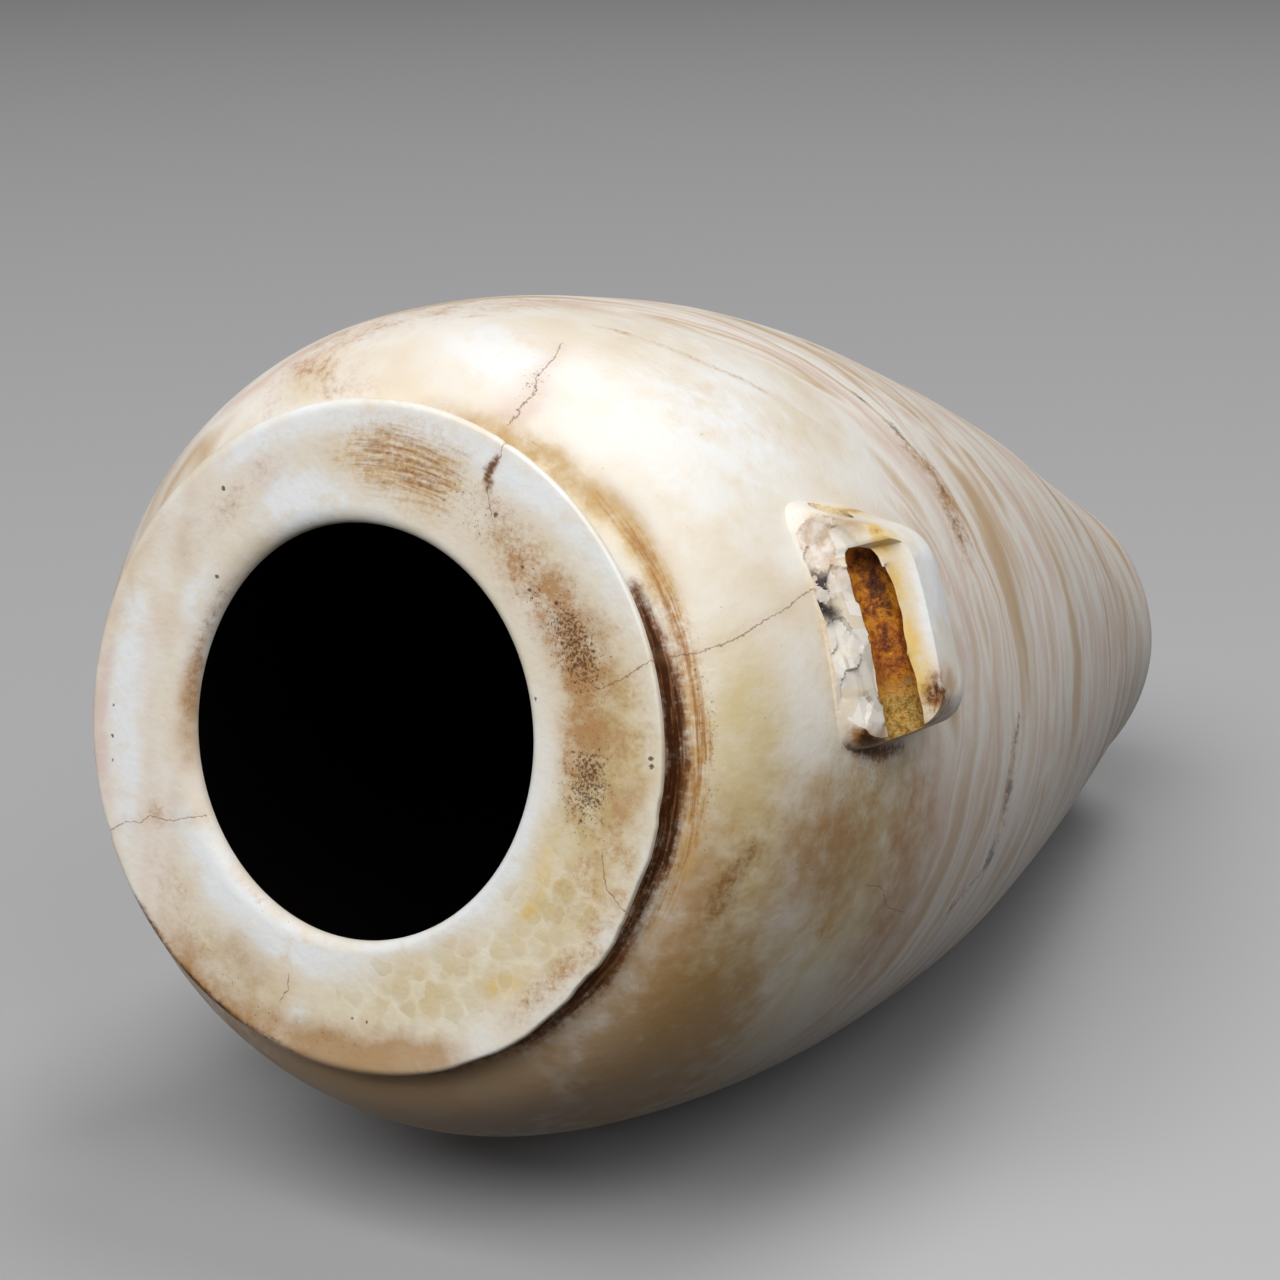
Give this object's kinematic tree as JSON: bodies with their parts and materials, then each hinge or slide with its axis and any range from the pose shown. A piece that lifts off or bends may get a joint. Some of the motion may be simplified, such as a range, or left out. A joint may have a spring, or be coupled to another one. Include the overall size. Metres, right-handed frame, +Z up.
{
  "type": "lug-handled vessel",
  "caption": "Hollow drop-shaped calcite jar with a wide flat rim, a round tail and pierced lugs on the shoulder, lying on its side.",
  "frame": {"origin": "on the surface that the jar lies on, under the middle of its box", "axes": "+Y from the mouth towards the tail, along the jar seen from above; +Z up; +X to the right of someone who looks from the mouth to the tail, on the side of the broken lug"},
  "size_m": [0.1088, 0.2036, 0.1017],
  "materials": {
    "calcite": "hand polished, slightly translucent, stained and chipped"
  },
  "bodies": {
    "root": {"lug_handled_jar": "calcite"}
  },
  "joints": []
}
